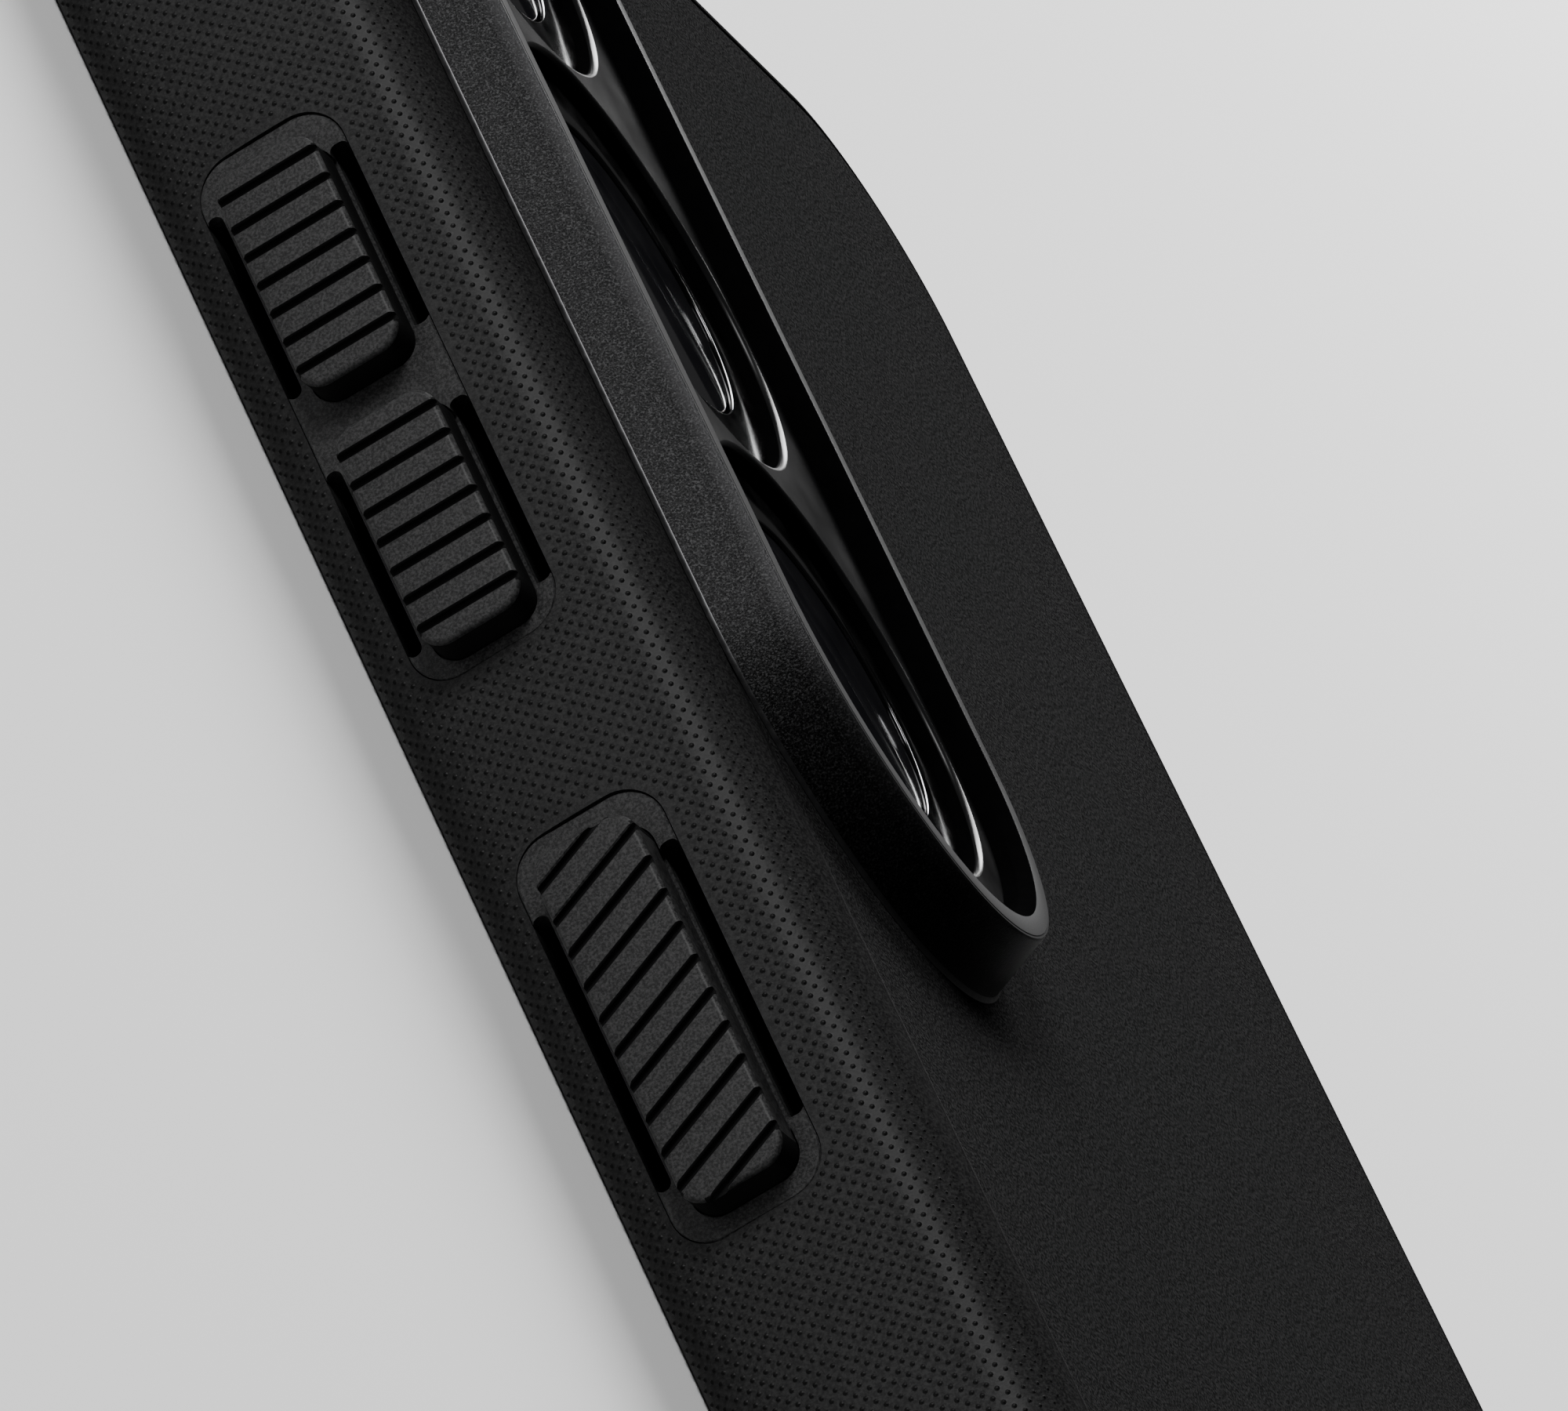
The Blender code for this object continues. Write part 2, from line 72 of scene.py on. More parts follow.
# The bumper's section, as insets from the body's outline and heights over the floor.
RAIL_WALL = 2.3
FRONT_LIP = 1.3
LIP_OVERHANG = 1.4
POCKET_TOP = node_box("inner_liner")[0][2]
CROWN_HEIGHT, CROWN_RADIUS = 5.2, 25.0
FRONT_EDGE_RADIUS, BACK_EDGE_RADIUS = 1.45, 2.6
SHELF_INSET = 4.4
GROOVE_DEPTH, GROOVE_FLOOR, GROOVE_ROOF = 0.6, 9.9, 10.85

# The thin parting line between the bumper's rounded lip and the back plate.
PARTING_INSET = 2.7
PARTING_ROUND = 0.08
PARTING_GAP = 0.11
TONGUE_GAP = 0.3

# Grip texture: small raised dots on a diamond lattice round the side walls. They shrink towards the front and
# back edges, and keep clear of the recesses and openings.
GRIP_PITCH = 0.542
GRIP_FOOT, GRIP_TOP_GAP = 0.7, 0.75
FADE_LOW, FADE_HIGH = 0.3, 2.3
DOT_RADIUS = 0.106
DOT_HEIGHT = 0.095
SMALLEST_DOT = 0.25
GRIP_MARGIN = 0.22
GRIP_CLEAR_CORNER = 1.9

# Recesses in the side, their panels, and the gap round each panel, most of which the panel's face hides.
PANELS = {"volume": node_box("volume_button_panel"), "power": node_box("power_button_panel")}
PANEL_CAPS = {"volume": ("volume_up", "volume_down"), "power": ("power",)}
RECESS_CORNER = 1.6
SEAM = 0.15
PANEL_LINE = 0.045

# Ribbed caps, each on a stem through a window in the side, with its pusher in a seat behind.
CAPS = {name: node_box(f"{name}_button") for name in ("volume_up", "volume_down", "power")}
CAP_CORNER, CAP_GAP = 0.95, 0.07
STEM_SHARE, STEM_HEIGHT, STEM_CORNER, STEM_GAP = 0.5, 2.4, 0.5, 0.25
SEAT_CORNER, SEAT_GAP = 0.7, 0.15

# Grooves between the ribs of a cap: how many, their pitch and their slant.
GROOVES = {"volume_up": (7, 1.21, 0.0), "volume_down": (7, 1.21, 0.0), "power": (11, 1.24, math.radians(23))}
RIB_GROOVE_WIDTH, RIB_GROOVE_DEPTH = 0.28, 0.30

# Two slots beside each cap: height of the middle, and width. They sit a little nearer the top than the cap.
SLOTS = {"low": (2.09, 0.62), "high": (7.16, 0.76)}
SLOT_LENGTHS = {"volume_up": 7.8, "volume_down": 7.8, "power": 11.18}
SLOT_CORNER = 0.30
SLOT_SHIFT = 0.3

# Openings in the ends: x from the body's middle, which end, half length, half height, plain zone round it.
END_OPENING_Z = FRONT_LIP + 3.85
PORT = (13.6, 7.0, 2.2)
SPEAKER = (12.0, 2.2, 1.1)
MIC_RADIUS = 0.9
MOUTH_ROUND = 0.5
END_OPENINGS = {
    "port": (0.0, -1, PORT[0] / 2, PORT[1] / 2, 0.3),
    "speaker": (17.5, -1, SPEAKER[0] / 2, SPEAKER[1] / 2, 0.2),
    "bottom_mic": (-12.0, -1, MIC_RADIUS, MIC_RADIUS, 0.1),
    "top_mic": (9.0, 1, MIC_RADIUS, MIC_RADIUS, 0.1),
}

# Camera guard: a pill, given by the radius of its ends and half the distance between their centres.
GUARD_LOW, GUARD_HIGH = node_box("camera_guard")
GUARD_X = (GUARD_LOW[0] + GUARD_HIGH[0]) / 2
GUARD_Y = (GUARD_LOW[1] + GUARD_HIGH[1]) / 2
GUARD_FOOT_RADIUS = (GUARD_HIGH[0] - GUARD_LOW[0]) / 2
GUARD_HALF_LENGTH = (GUARD_HIGH[1] - GUARD_LOW[1]) / 2 - GUARD_FOOT_RADIUS
GUARD_TOP = GUARD_HIGH[2]
GUARD_RIM, GUARD_RIM_INNER, GUARD_BORE = 10.51, 9.60, 9.15
GUARD_SOCKET = 9.6
BACK_OPENING = 9.9

# Deck inside the guard, with three lens covers in a column.
PLATE_TOP = node_box("camera_plate")[1][2]
DECK_RADIUS = 9.10
LENSES = {"top": 1, "middle": 0, "bottom": -1}
LENS_PITCH = 17.63
LENS_HOLE_RADIUS = 8.54
HOLE_ROUND = 0.22
RING_OUTER, RING_BORE = 8.3, 6.05
GLASS_RADIUS = 5.95

# The camera stands to the left of the case's lower end, low over the floor.
CAMERA_PLACE = (-430.03, -186.99, 89.31)
CAMERA_RIGHT = (0.36504, -0.38551, 0.84743)
CAMERA_UP = (-0.31895, 0.80337, 0.50286)
CAMERA_BACK = (-0.87465, -0.45386, 0.17030)
CAMERA_LENS = 309.35


def make_camera():
    data = bpy.data.cameras.new("camera")
    data.lens = CAMERA_LENS
    data.sensor_width = 36.0
    camera = bpy.data.objects.new("camera", data)
    columns = Matrix((CAMERA_RIGHT, CAMERA_UP, CAMERA_BACK)).transposed()
    camera.matrix_world = Matrix.Translation(Vector(CAMERA_PLACE) * MM) @ columns.to_4x4()
    bpy.context.scene.collection.objects.link(camera)
    bpy.context.scene.camera = camera


make_camera()


# ---- Materials ----


class Nodes:
    """A material with short calls for building its node tree."""

    def __init__(self, name):
        self.material = bpy.data.materials.new(name)
        self.material.use_nodes = True
        self.tree = self.material.node_tree
        self.shader = self.tree.nodes["Principled BSDF"]
        self.place = self.tree.nodes.new("ShaderNodeTexCoord").outputs["Object"]

    def set(self, **values):
        """Constants on the shader's own sockets."""
        for label, value in values.items():
            socket = self.shader.inputs[label.replace("_", " ")]
            socket.default_value = (*value, 1.0) if isinstance(value, tuple) else value

    def link(self, output, socket):
        self.tree.links.new(output, socket)

    def drive(self, label, output):
        """Links an output to one of the shader's own sockets."""
        self.link(output, self.shader.inputs[label])

    def node(self, kind, **inputs):
        """A new node with these input values."""
        made = self.tree.nodes.new(kind)
        for label, value in inputs.items():
            made.inputs[label.replace("_", " ")].default_value = value
        return made

    def noise(self, size_mm, detail=2.0, roughness=0.5):
        node = self.node("ShaderNodeTexNoise", Scale=1.0 / (size_mm * MM), Detail=detail, Roughness=roughness)
        self.link(self.place, node.inputs["Vector"])
        return node.outputs["Fac"]

    def cells(self, size_mm):
        """Distance from the middle of the nearest cell."""
        node = self.node("ShaderNodeTexVoronoi", Scale=1.0 / (size_mm * MM))
        self.link(self.place, node.inputs["Vector"])
        return node.outputs["Distance"]

    def attribute(self, name):
        node = self.node("ShaderNodeAttribute")
        node.attribute_name = name
        return node.outputs["Fac"]

    def height(self):
        """Height over the floor, in metres."""
        node = self.node("ShaderNodeSeparateXYZ")
        self.link(self.place, node.inputs["Vector"])
        return node.outputs["Z"]

    def edges(self):
        """1 along convex edges and 0 on flat and hollow places."""
        pointiness = self.node("ShaderNodeNewGeometry").outputs["Pointiness"]
        return self.remap(pointiness, 0.505, 0.56, 0.0, 1.0)

    def remap(self, value, low, high, to_low, to_high):
        node = self.node("ShaderNodeMapRange", From_Min=low, From_Max=high, To_Min=to_low, To_Max=to_high)
        self.link(value, node.inputs["Value"])
        return node.outputs["Result"]

    def math(self, operation, first, second):
        """Sum, difference or product of an output and a second output or number."""
        node = self.node("ShaderNodeMath")
        node.operation = operation
        self.link(first, node.inputs[0])
        if isinstance(second, float):
            node.inputs[1].default_value = second
        else:
            self.link(second, node.inputs[1])
        return node.outputs["Value"]

    def blend(self, factor, first, second):
        """Mix of two colours, each a tuple or an output."""
        node = self.node("ShaderNodeMix")
        node.data_type = "RGBA"
        self.link(factor, node.inputs["Factor"])
        # A mix node's colour sockets follow its number and vector sockets.
        for socket, value in ((node.inputs[6], first), (node.inputs[7], second)):
            if isinstance(value, tuple):
                socket.default_value = (*value, 1.0)
            else:
                self.link(value, socket)
        return node.outputs[2]

    def ramp(self, value, low, high, first, second):
        """The first colour where the value is low, the second where it is high, and a mix between."""
        return self.blend(self.remap(value, low, high, 0.0, 1.0), first, second)

    def worn(self, roughness, polish):
        """A roughness that falls by the given polish along convex edges."""
        return self.math("SUBTRACT", roughness, self.math("MULTIPLY", self.edges(), polish))

    def bump(self, height, depth_mm):
        node = self.node("ShaderNodeBump", Distance=depth_mm * MM)
        self.link(height, node.inputs["Height"])
        self.drive("Normal", node.outputs["Normal"])


def soft_black():
    """Bumper: matt soft plastic with a fine grain, with painted shade towards the front edge and on the
    raised dots.
    """
    n = Nodes("soft_black")
    grain = n.noise(0.13, 2.0, 0.8)
    patches = n.noise(9.0)
    tone = n.ramp(patches, 0.35, 0.65, (0.0085, 0.0085, 0.0087), (0.0112, 0.0112, 0.0114))
    tone = n.blend(n.remap(grain, 0.40, 0.62, 0.0, 0.8), tone, (0.026, 0.026, 0.026))
    # Painted shade: the tone darkens towards the front edge, low over the floor.
    tone = n.blend(n.remap(n.height(), 0.4 * MM, 2.2 * MM, 0.6, 0.0), tone, (0.003, 0.003, 0.003))
    # Painted shade on the raised dots: their tone goes near black from the foot up.
    tone = n.ramp(n.attribute("dot"), 0.02, 0.32, tone, (0.0015, 0.0015, 0.0015))
    n.drive("Base Color", tone)
    n.drive("Roughness", n.worn(n.remap(grain, 0.3, 0.7, 0.42, 0.54), 0.08))
    n.drive("Specular IOR Level", n.remap(n.height(), 9.8 * MM, 10.7 * MM, 0.10, 0.0))
    n.bump(grain, 0.008)
    return n.material


def smooth_black():
    """Button panels and caps: the same plastic with a smoother mould surface."""
    n = Nodes("smooth_black")
    grain = n.noise(0.10, 3.0, 0.7)
    n.drive("Base Color", n.ramp(grain, 0.40, 0.64, (0.010, 0.010, 0.0103), (0.038, 0.038, 0.0383)))
    n.drive("Roughness", n.worn(n.remap(grain, 0.3, 0.7, 0.50, 0.60), 0.12))
    n.set(Specular_IOR_Level=0.15)
    n.bump(grain, 0.014)
    return n.material


def shadowed_black():
    """Rib grooves, side walls of the caps and the back plate's rounded edge: painted shade, a darker moulded
    black without shine.
    """
    n = Nodes("shadowed_black")
    grain = n.noise(0.10, 3.0, 0.7)
    n.drive("Base Color", n.blend(grain, (0.0040, 0.0040, 0.0041), (0.0080, 0.0080, 0.0082)))
    n.drive("Roughness", n.remap(grain, 0.3, 0.7, 0.70, 0.85))
    n.set(Specular_IOR_Level=0.05)
    n.bump(grain, 0.010)
    return n.material


def grained_black():
    """Hard back: fine leather-like grain of small pebbles over sand."""
    n = Nodes("grained_black")
    pebbles = n.cells(0.20)
    sand = n.noise(0.13, 2.0, 0.8)
    n.drive("Base Color", n.ramp(sand, 0.44, 0.62, (0.007, 0.007, 0.0072), (0.031, 0.031, 0.0312)))
    n.drive("Roughness", n.worn(n.remap(sand, 0.3, 0.7, 0.40, 0.50), 0.08))
    n.set(Specular_IOR_Level=0.0)
    n.bump(n.math("ADD", n.math("MULTIPLY", pebbles, -0.7), sand), 0.006)
    return n.material


def blasted_metal():
    """Guard: bead-blasted black anodised metal with a sparkling grain and brighter worn edges."""
    n = Nodes("blasted_metal")
    beads = n.noise(0.075, 3.0, 0.8)
    specks = n.noise(0.075, 1.0, 0.5)
    sparkle = n.remap(specks, 0.57, 0.70, 0.0, 1.0)
    tone = n.ramp(beads, 0.42, 0.60, (0.0008, 0.0008, 0.0009), (0.0170, 0.0170, 0.0174))
    tone = n.blend(n.math("MULTIPLY", sparkle, 0.5), tone, (0.045, 0.045, 0.046))
    tone = n.blend(n.math("MULTIPLY", n.edges(), 0.6), tone, (0.10, 0.10, 0.103))
    n.drive("Base Color", tone)
    n.drive("Roughness", n.remap(beads, 0.3, 0.7, 0.36, 0.56))
    n.set(Metallic=0.75, Specular_IOR_Level=0.15)
    n.bump(n.math("ADD", beads, specks), 0.010)
    return n.material


def machined_black():
    """The guard's rim: dark and turned smooth."""
    n = Nodes("machined_black")
    turned = n.noise(0.05)
    tone = n.ramp(turned, 0.3, 0.7, (0.020, 0.020, 0.0205), (0.030, 0.030, 0.0306))
    tone = n.blend(n.math("MULTIPLY", n.edges(), 0.5), tone, (0.06, 0.06, 0.061))
    n.drive("Base Color", tone)
    n.drive("Roughness", n.remap(turned, 0.3, 0.7, 0.34, 0.42))
    n.set(Specular_IOR_Level=0.04)
    n.bump(turned, 0.002)
    return n.material


def bright_edge():
    """The thin bare edge along the guard's foot."""
    n = Nodes("bright_edge")
    wear = n.noise(0.4, 3.0)
    n.drive("Base Color", n.blend(wear, (0.035, 0.035, 0.036), (0.075, 0.075, 0.077)))
    n.drive("Roughness", n.remap(wear, 0.3, 0.7, 0.28, 0.38))
    n.set(Metallic=0.9)
    return n.material


def painted_shade_black():
    """Inner walls of the guard and of the lens holes: painted shade, a near-black tone with no shine."""
    n = Nodes("painted_shade_black")
    haze = n.noise(0.8, 3.0)
    n.drive("Base Color", n.blend(haze, (0.0012, 0.0012, 0.0013), (0.0024, 0.0024, 0.0025)))
    n.drive("Roughness", n.remap(haze, 0.3, 0.7, 0.50, 0.65))
    n.set(Specular_IOR_Level=0.0)
    return n.material


def satin_black():
    """Smooth deck inside the guard."""
    n = Nodes("satin_black")
    grain = n.noise(0.06)
    smudge = n.noise(3.0, 3.0)
    n.drive("Base Color", n.ramp(smudge, 0.3, 0.7, (0.005, 0.005, 0.0052), (0.008, 0.008, 0.0083)))
    n.drive("Roughness", n.remap(smudge, 0.3, 0.7, 0.20, 0.27))
    n.set(Specular_IOR_Level=0.12)
    n.bump(grain, 0.0005)
    return n.material


def polished_steel():
    """Rings round the lens covers: polished and toned dark."""
    n = Nodes("polished_steel")
    brushed = n.noise(0.05)
    haze = n.noise(1.5, 3.0)
    n.drive("Base Color", n.ramp(haze, 0.3, 0.7, (0.05, 0.05, 0.052), (0.09, 0.09, 0.093)))
    n.drive("Roughness", n.remap(haze, 0.3, 0.7, 0.08, 0.13))
    n.set(Metallic=1.0)
    n.bump(brushed, 0.0002)
    return n.material


def dark_glass():
    """Coated cover glass: near black, glossy, with a faint haze."""
    n = Nodes("dark_glass")
    haze = n.noise(2.0, 3.0)
    n.drive("Base Color", n.ramp(haze, 0.3, 0.7, (0.005, 0.005, 0.006), (0.008, 0.008, 0.009)))
    n.drive("Roughness", n.remap(haze, 0.3, 0.7, 0.03, 0.08))
    return n.material


def microfibre():
    """Short-nap lining with a soft mottled pile."""
    n = Nodes("microfibre")
    pile = n.noise(0.22, 4.0, 0.7)
    drift = n.noise(6.0, 3.0)
    tone = n.ramp(pile, 0.3, 0.7, (0.032, 0.032, 0.034), (0.062, 0.062, 0.066))
    tone = n.blend(n.remap(drift, 0.35, 0.65, 0.0, 0.35), tone, (0.075, 0.075, 0.080))
    n.drive("Base Color", tone)
    n.set(Roughness=0.95, Sheen_Weight=0.5, Sheen_Roughness=0.4)
    n.bump(pile, 0.06)
    return n.material


MAKERS = (soft_black, smooth_black, grained_black, shadowed_black, blasted_metal, machined_black, painted_shade_black,
          bright_edge, satin_black, polished_steel, dark_glass, microfibre)
FINISH = {maker.__name__: maker() for maker in MAKERS}


# ---- Outlines and sections ----


def arc(centre, radius, start, end, steps):
    """Points on an arc in the section plane, angles in degrees."""
    angles = np.radians(np.linspace(start, end, steps + 1))
    return [(centre[0] + radius * math.cos(a), centre[1] + radius * math.sin(a)) for a in angles]


def rectangle_outline(length_x, length_y, radius, steps):
    """Rectangle with round corners, as a function of how far it is drawn in."""
    tightest = 0.02

    def outline(inset):
        corner = max(radius - inset, tightest)
        reach_x = length_x / 2 - inset - corner
        reach_y = length_y / 2 - inset - corner
        points = []
        for quarter, (sign_x, sign_y) in enumerate(((1, 1), (-1, 1), (-1, -1), (1, -1))):
            for step in range(steps + 1):
                angle = math.pi / 2 * (quarter + step / steps)
                x = sign_x * reach_x + corner * math.cos(angle)
                y = sign_y * reach_y + corner * math.sin(angle)
                points.append((x, y))
        return points

    return outline


def pill_outline(radius, half_length, steps=64):
    """Two half circles joined by straight sides, as a function of how far it is drawn in."""
    def outline(inset):
        reach = radius - inset
        points = []
        for half, sign in ((0, 1), (1, -1)):
            for step in range(steps + 1):
                angle = math.pi * (half + step / steps)
                points.append((reach * math.cos(angle), sign * half_length + reach * math.sin(angle)))
        return points

    return outline


def circle_outline(radius, steps=128):
    def outline(inset):
        turns = [2 * math.pi * step / steps for step in range(steps)]
        return [((radius - inset) * math.cos(a), (radius - inset) * math.sin(a)) for a in turns]

    return outline


# Each of these gives the function that puts an outline's point (u, v) at a section height w, in metres.


def lay_flat(centre_x, centre_y):
    return lambda u, v, w: ((centre_x + u) * MM, (centre_y + v) * MM, w * MM)


def face_side(centre_y, centre_z):
    return lambda u, v, w: ((SIDE_X + w) * MM, (centre_y + u) * MM, (centre_z + v) * MM)


def face_end(centre_x, centre_z):
    return lambda u, v, w: ((centre_x + u) * MM, w * MM, (centre_z + v) * MM)


# ---- Mesh helpers ----


def new_object(name, data, finish=None, sharp=35):
    data.shade_smooth()
    data.set_sharp_from_angle(angle=math.radians(sharp))
    made = bpy.data.objects.new(name, data)
    bpy.context.scene.collection.objects.link(made)
    if finish:
        data.materials.append(FINISH[finish])
    return made


def swept(name, outline, section, place, finish=None, ring=False, sharp=35):
    """A closed solid whose outline follows a section of (inset, height) points. A ring has no end caps."""
    mesh = bmesh.new()
    loops = [[mesh.verts.new(place(u, v, height)) for u, v in outline(inset)] for inset, height in section]
    pairs = list(zip(loops, loops[1:]))
    if ring:
        pairs.append((loops[-1], loops[0]))
    for lower, upper in pairs:
        for i in range(len(lower)):
            j = (i + 1) % len(lower)
            mesh.faces.new((lower[i], lower[j], upper[j], upper[i]))
    if not ring:
        mesh.faces.new(loops[0])
        mesh.faces.new(loops[-1])
    bmesh.ops.recalc_face_normals(mesh, faces=mesh.faces)
    data = bpy.data.meshes.new(name)
    mesh.to_mesh(data)
    mesh.free()
    return new_object(name, data, finish, sharp)


def apply_modifiers(target):
    graph = bpy.context.evaluated_depsgraph_get()
    data = bpy.data.meshes.new_from_object(target.evaluated_get(graph), depsgraph=graph)
    target.modifiers.clear()
    target.data = data


def join_solids(name, solids):
    """One closed solid made of several that may overlap, as the first of them."""
    first = solids[0]
    first.name = name
    for solid in solids[1:]:
        change = first.modifiers.new("join", "BOOLEAN")
        change.operation, change.solver, change.object = "UNION", "EXACT", solid
    apply_modifiers(first)
    for solid in solids[1:]:
        bpy.data.objects.remove(solid)
    return first


def cut(target, tool, solver="EXACT", sharp=35):
    change = target.modifiers.new("cut", "BOOLEAN")
    change.operation, change.solver, change.object = "DIFFERENCE", solver, tool
    apply_modifiers(target)
    bpy.data.objects.remove(tool)
    target.data.shade_smooth()
    target.data.set_sharp_from_angle(angle=math.radians(sharp))


def paint(piece, finish, chosen):
    """Gives a second finish to the faces whose centre, in millimetres, passes the test."""
    piece.data.materials.append(FINISH[finish])
    index = len(piece.data.materials) - 1
    for face in piece.data.polygons:
        if chosen(*(face.center / MM)):
            face.material_index = index


def finish_piece(piece, body, node):
    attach(piece, body)
    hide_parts(node)


# ---- Side profile and its path round the body ----


def side_inset(height):
    """Inset of the slightly crowned side wall."""
    return (height - CROWN_HEIGHT) ** 2 / (2 * CROWN_RADIUS)


def side_profile():
    """The outer side from the front edge's foot to the parting line, as (inset, height) points."""
    front = (side_inset(FRONT_EDGE_RADIUS) + FRONT_EDGE_RADIUS, FRONT_EDGE_RADIUS)
    back_z = BODY_HEIGHT - BACK_EDGE_RADIUS
    back = (side_inset(back_z) + BACK_EDGE_RADIUS, back_z)
    lip_angle = math.degrees(math.acos((PARTING_INSET - PARTING_ROUND - back[0]) / BACK_EDGE_RADIUS))
    points = arc(front, FRONT_EDGE_RADIUS, 270, 180, 30)
    points += [(side_inset(z), z) for z in np.linspace(FRONT_EDGE_RADIUS, back_z, 60)[1:-1]]
    points += arc(back, BACK_EDGE_RADIUS, 180, lip_angle, 50)
    return np.array(points)


PROFILE = side_profile()
PROFILE_LENGTH = np.concatenate([[0], np.cumsum(np.hypot(*np.diff(PROFILE, axis=0).T))])


def profile_at(h):
    """(inset, height, outward direction) at a distance along the side profile."""
    def point(distance):
        return (np.interp(distance, PROFILE_LENGTH, PROFILE[:, 0]),
                np.interp(distance, PROFILE_LENGTH, PROFILE[:, 1]))

    step = 0.05
    inset, height = point(h)
    before, after = point(h - step), point(h + step)
    d_inset, d_height = after[0] - before[0], after[1] - before[1]
    size = np.hypot(d_inset, d_height)
    return inset, height, d_height / size, d_inset / size


HALF_X = BODY_WIDTH / 2 - CORNER_RADIUS
HALF_Y = BODY_LENGTH / 2 - CORNER_RADIUS
QUARTER = math.pi / 2 * CORNER_RADIUS
PERIMETER = 4 * (HALF_X + HALF_Y) + 4 * QUARTER


def path_at(s):
    """Corner-centre point and outward direction at a distance round the body.

    The path starts in the middle of the -X side and runs towards +Y. Its nine legs are straights and corners
    in turn.
    """
    s = np.mod(s, PERIMETER)
    legs = [HALF_Y, QUARTER, 2 * HALF_X, QUARTER, 2 * HALF_Y, QUARTER, 2 * HALF_X, QUARTER, HALF_Y]
    stops = np.cumsum(legs)
    starts = np.concatenate([[0], stops[:-1]])
    leg = np.minimum(np.searchsorted(stops, s, side="right"), len(legs) - 1)
    along = s - starts[leg]
    corner = leg % 2 == 1
    turn = np.where(corner, along / CORNER_RADIUS, 0.0) + (leg // 2) * (math.pi / 2)
    angle = math.pi - turn
    right_x, left_x = HALF_X, -HALF_X
    base_x = np.choose(leg, [left_x, left_x, left_x + along, right_x, right_x, right_x, right_x - along,
                             left_x, left_x])
    base_y = np.choose(leg, [along, HALF_Y, HALF_Y, HALF_Y, HALF_Y - along, -HALF_Y, -HALF_Y, -HALF_Y,
                             -HALF_Y + along])
    return base_x, base_y, np.cos(angle), np.sin(angle)


def on_body(s, inset, height):
    """Points at distances round the body, each at its inset and height."""
    base_x, base_y, out_x, out_y = path_at(s)
    reach = CORNER_RADIUS - inset
    return np.stack([BODY_X + base_x + reach * out_x, base_y + reach * out_y, height + 0 * s], axis=-1)


def on_side(s, h, depth=0.0):
    """Points on the side at distances round the body and along the profile, sunk by a depth."""
    inset, height, out, up = profile_at(h)
    return on_body(s, inset + depth * out, height - depth * up)


# ---- Bumper: one closed shell with a dotted grip band round it ----


class Surface:
    """Vertices and triangles, gathered in blocks."""

    def __init__(self):
        self.points, self.triangles, self.count = [], [], 0

    def add(self, points):
        """Adds a block of points and returns their numbers."""
        self.points.append(points)
        self.count += len(points)
        return np.arange(self.count - len(points), self.count)

    def face(self, *corners):
        """Adds triangles, given by the numbers of their first, second and third corners."""
        self.triangles.append(np.stack(corners, axis=1))

    def bridge(self, lower, upper):
        """Joins two closed loops of points."""
        after_low, after_up = np.roll(lower, -1), np.roll(upper, -1)
        self.face(lower, after_low, after_up)
        self.face(lower, after_up, upper)

    def mesh(self, name):
        """The mesh, with its faces turned outwards."""
        verts, faces = np.concatenate(self.points), np.concatenate(self.triangles)
        a, b, c = (verts[faces[:, k]] for k in range(3))
        if np.einsum("ij,ij->i", a, np.cross(b, c)).sum() < 0:
            faces = faces[:, ::-1]
        data = bpy.data.meshes.new(name)
        data.from_pydata((verts * MM).tolist(), [], faces.tolist())
        return data


def clear_of_openings(s, h):
    """True where a dot may lie: a margin away from the recesses and the openings in the ends."""
    x, y, z = on_side(s, h).T
    end_zone = 3
    clear = np.ones(len(s), bool)
    for low, high in PANELS.values():
        middle, half = (low + high) / 2, (high - low) / 2
        gap_y = np.abs(y - middle[1]) - (half[1] + SEAM + GRIP_MARGIN)
        gap_z = np.abs(z - middle[2]) - (half[2] + SEAM + GRIP_MARGIN)
        corner = np.hypot(np.maximum(gap_y + GRIP_CLEAR_CORNER, 0), np.maximum(gap_z + GRIP_CLEAR_CORNER, 0))
        inside = (x < SIDE_X + end_zone) & (corner < GRIP_CLEAR_CORNER) & (gap_y < 0) & (gap_z < 0)
        clear &= ~inside
    for from_middle, sign, half_x, half_z, plain in END_OPENINGS.values():
        near_end = y * sign > BODY_LENGTH / 2 - end_zone
        near_x = np.abs(x - BODY_X - from_middle) < half_x + plain + GRIP_MARGIN
        near_z = np.abs(z - END_OPENING_Z) < half_z + plain + GRIP_MARGIN
        clear &= ~(near_end & near_x & near_z)
    return clear


def add_cells(surface, s, h, corners, first_h, last_h):
    """Diamond cells of the grip: some plain, and the others with a raised dot in the middle."""
    fade = np.clip(np.minimum((h - first_h) / FADE_LOW, (last_h - h) / FADE_HIGH), 0, 1)
    size = np.sqrt(fade)
    dotted = clear_of_openings(s, h) & (size > SMALLEST_DOT)
    right, top, left, bottom = corners[:, ~dotted]
    surface.face(right, top, left)
    surface.face(right, left, bottom)

    corners, s, h, size = corners[:, dotted], s[dotted], h[dotted], size[dotted]
    radius = DOT_RADIUS * size
    turns = [math.pi / 8 + k * math.pi / 4 for k in range(8)]
    ring = [surface.add(on_side(s + radius * math.cos(a), h + radius * math.sin(a))) for a in turns]
    tip = surface.add(on_side(s, h, -DOT_HEIGHT * size))
    for k in range(8):
        surface.face(ring[k], ring[(k + 1) % 8], tip)
    for k in range(4):
        here, following = corners[k], corners[(k + 1) % 4]
        before, near, far = ring[2 * k - 1], ring[2 * k], ring[2 * k + 1]
        surface.face(here, near, before)
        surface.face(here, following, near)
        surface.face(following, far, near)


